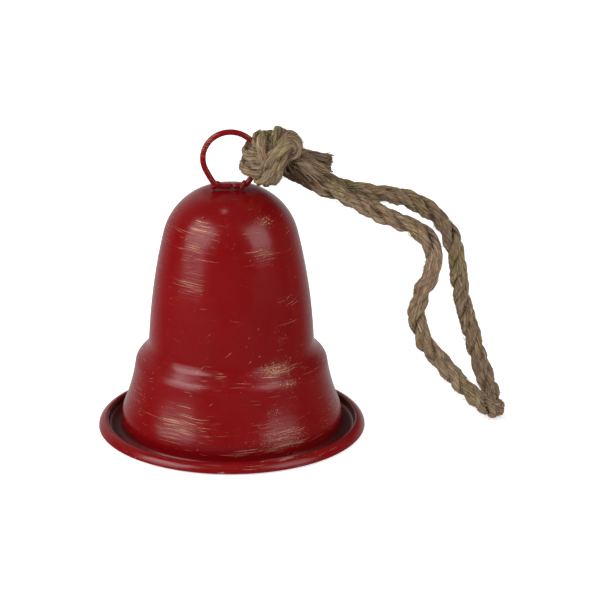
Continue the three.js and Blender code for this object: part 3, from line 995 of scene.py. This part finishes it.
def make_rod():
    """The wire eye, its neck wound once round the shaft, and the riveted foot."""
    low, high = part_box("clapper_rod")
    eye = high.z - ROD_WIRE / 2 - EYE_RADIUS
    wires = Wires()
    circle = arc(0, eye, EYE_RADIUS, -84, 264, 80)
    wires.add(tube_rings(Line(circle, 0.25 * MM), ROD_WIRE / 2, 20))
    neck = eye - EYE_RADIUS
    foot = low.z + 1.4 * MM
    shaft = [(0, 0, neck + 0.3 * MM), (0.05 * MM, 0, (neck + foot) / 2), (0, 0, foot)]
    wires.add(tube_rings(Line(shaft, 0.6 * MM), ROD_WIRE / 2, 20))
    turns = np.linspace(0, 2.2 * 2 * math.pi, 70)
    reach = ROD_WIRE / 2 + 0.55 * MM
    x, y = reach * np.cos(turns), reach * np.sin(turns)
    coil = np.stack([x, y, neck - 0.6 * MM - turns * 0.2 * MM], 1)
    wires.add(tube_rings(Line(coil, 0.25 * MM), 0.6 * MM, 14))
    head = RIVET_RADIUS
    t = np.linspace(0, math.pi / 2, 9)
    dome = [(0.9 * head * math.cos(a) + 0.02 * MM, foot - 0.2 * MM - 1.1 * MM * math.sin(a))
            for a in t]
    brim = [(1.05 * MM, foot + 0.25 * MM), (0.92 * head, foot + 0.2 * MM), (head, foot)]
    wires.add(turned(brim + dome, 32)[::-1])
    return wires.build("rod", STEEL_WIRE)


def make_ball():
    """A bored ball. Its bore's edges are rounded."""
    low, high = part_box("clapper_ball")
    centre = (low.z + high.z) / 2
    bore = ROD_WIRE / 2 + BORE_GAP
    first = math.asin((bore + 0.5 * MM) / BALL_RADIUS)
    t = np.linspace(first, math.pi - first, 48)
    outline = [(BALL_RADIUS * math.sin(a), centre + BALL_RADIUS * math.cos(a)) for a in t]
    outline.append((bore + 0.1 * MM, centre - BALL_RADIUS + 0.35 * MM))
    outline.append((bore, centre - BALL_RADIUS + 0.8 * MM))
    outline.append((bore, centre + BALL_RADIUS - 0.8 * MM))
    outline.append((bore + 0.1 * MM, centre + BALL_RADIUS - 0.35 * MM))
    sides = 64
    rings = turned(outline, sides)
    rings = np.concatenate([rings, rings[:1]])
    faces = [face[::-1] for face in grid_faces(len(rings), sides)]
    last = (len(rings) - 1) * sides
    faces = [[v - last if v >= last else v for v in face] for face in faces]
    return add_mesh("ball", rings[:-1].reshape(-1, 3), faces, IRON_BALL)


stand_for(make_staple(), "bell", "steel_wire", "clapper_staple")
stand_for(make_link(), "clapper_link", "steel_wire", "clapper_link")
stand_for(make_rod(), "clapper", "steel_wire", "clapper_rod")
stand_for(make_ball(), "clapper", "iron_ball", "clapper_ball")


# ---- Stage: floor, sky and soft boxes ----

FLOOR_HEIGHT = -0.2 * MM
FLOOR_REACH = 8.0
LIT_POINT = (0.0, 0.0, 0.07)


def make_floor():
    """A pale floor that can be seen through from below."""
    material, tree, shader = new_material("floor", Roughness=0.8)
    shader.inputs["Base Color"].default_value = (0.76, 0.76, 0.76, 1)
    shader.inputs["Specular IOR Level"].default_value = 0.0
    shader.inputs["Emission Color"].default_value = (1, 1, 1, 1)
    shader.inputs["Emission Strength"].default_value = 0.62
    under = node(tree, "ShaderNodeNewGeometry").outputs["Backfacing"]
    clear = node(tree, "ShaderNodeBsdfTransparent").outputs[0]
    mixed = node(tree, "ShaderNodeMixShader", {0: under, 1: shader.outputs[0], 2: clear})
    tree.links.new(mixed.outputs[0], tree.nodes["Material Output"].inputs["Surface"])
    count = 64
    angle = np.linspace(0, 2 * math.pi, count, endpoint=False)
    x, y = FLOOR_REACH * np.cos(angle), FLOOR_REACH * np.sin(angle)
    rim = np.stack([x, y, np.full(count, FLOOR_HEIGHT)], 1)
    floor = add_mesh("floor", rim, [tuple(range(count))], material)
    floor.visible_glossy = False


def soft_box(name, azimuth, elevation, distance, size, power, mirrored=True):
    """An area light that faces the bell. Azimuth runs from the camera's side to the right.

    A fill light isn't mirrored in the paint.
    """
    turn, rise = math.radians(azimuth), math.radians(elevation)
    data = bpy.data.lights.new(name, "AREA")
    data.shape = "RECTANGLE"
    data.size, data.size_y = size
    data.energy = power
    light = bpy.data.objects.new(name, data)
    light.visible_glossy = mirrored
    flat = math.cos(rise)
    way = np.array((math.sin(turn) * flat, -math.cos(turn) * flat, math.sin(rise)))
    light.location = np.array(LIT_POINT) + distance * way
    light.rotation_euler = (math.pi / 2 - rise, 0, turn)
    bpy.context.scene.collection.objects.link(light)


def ceiling_light(strength):
    """Even light from overhead, like a wide white ceiling."""
    data = bpy.data.lights.new("ceiling", "SUN")
    data.energy = strength
    data.angle = math.radians(150)
    light = bpy.data.objects.new("ceiling", data)
    light.visible_glossy = False
    bpy.context.scene.collection.objects.link(light)


def make_sky():
    """A pale backdrop behind everything, in a studio that is dim in front and overhead."""
    world = bpy.data.worlds.new("sky")
    world.use_nodes = True
    tree = world.node_tree
    seen = node(tree, "ShaderNodeLightPath").outputs["Is Camera Ray"]
    way = node(tree, "ShaderNodeTexCoord").outputs["Generated"]
    way = node(tree, "ShaderNodeSeparateXYZ", {0: way})
    behind = maths(tree, "POWER", span(tree, way.outputs[1], 0.25, 1.0), 1.6)
    high = span(tree, way.outputs[2], 0.1, 0.35)
    right = span(tree, way.outputs[0], -0.35, 0.0)
    hidden = maths(tree, "MULTIPLY", high, right)
    behind = maths(tree, "MULTIPLY", behind, maths(tree, "SUBTRACT", 1.0, hidden))
    overhead = span(tree, way.outputs[2], 0.1, 0.9, 0.02, 0.06)
    dim = maths(tree, "MULTIPLY_ADD", behind, 0.6, overhead)
    level = maths(tree, "MAXIMUM", dim, seen)
    tree.links.new(level, tree.nodes["Background"].inputs["Strength"])
    bpy.context.scene.world = world
    tree.nodes["Background"].inputs["Color"].default_value = (1, 1, 1, 1)


make_floor()
make_sky()
ceiling_light(1.3)
soft_box("left_box", -62, 36, 1.1, (0.84, 0.56), 5.2)
soft_box("left_low_box", -62, 11.5, 1.1, (0.8, 0.44), 1.8)
soft_box("left_fill", -60, 28, 1.1, (0.9, 0.9), 6.0, mirrored=False)
soft_box("right_box", 56, 29, 1.2, (0.72, 0.94), 4.2)
soft_box("right_fill", 50, 30, 1.2, (0.8, 0.8), 2.8, mirrored=False)
soft_box("high_lamp", -90, 81.5, 1.3, (0.08, 0.08), 0.2)
soft_box("front_lamp", -13, 57, 1.3, (0.05, 0.05), 0.035)
bpy.context.scene.view_settings.view_transform = "Standard"

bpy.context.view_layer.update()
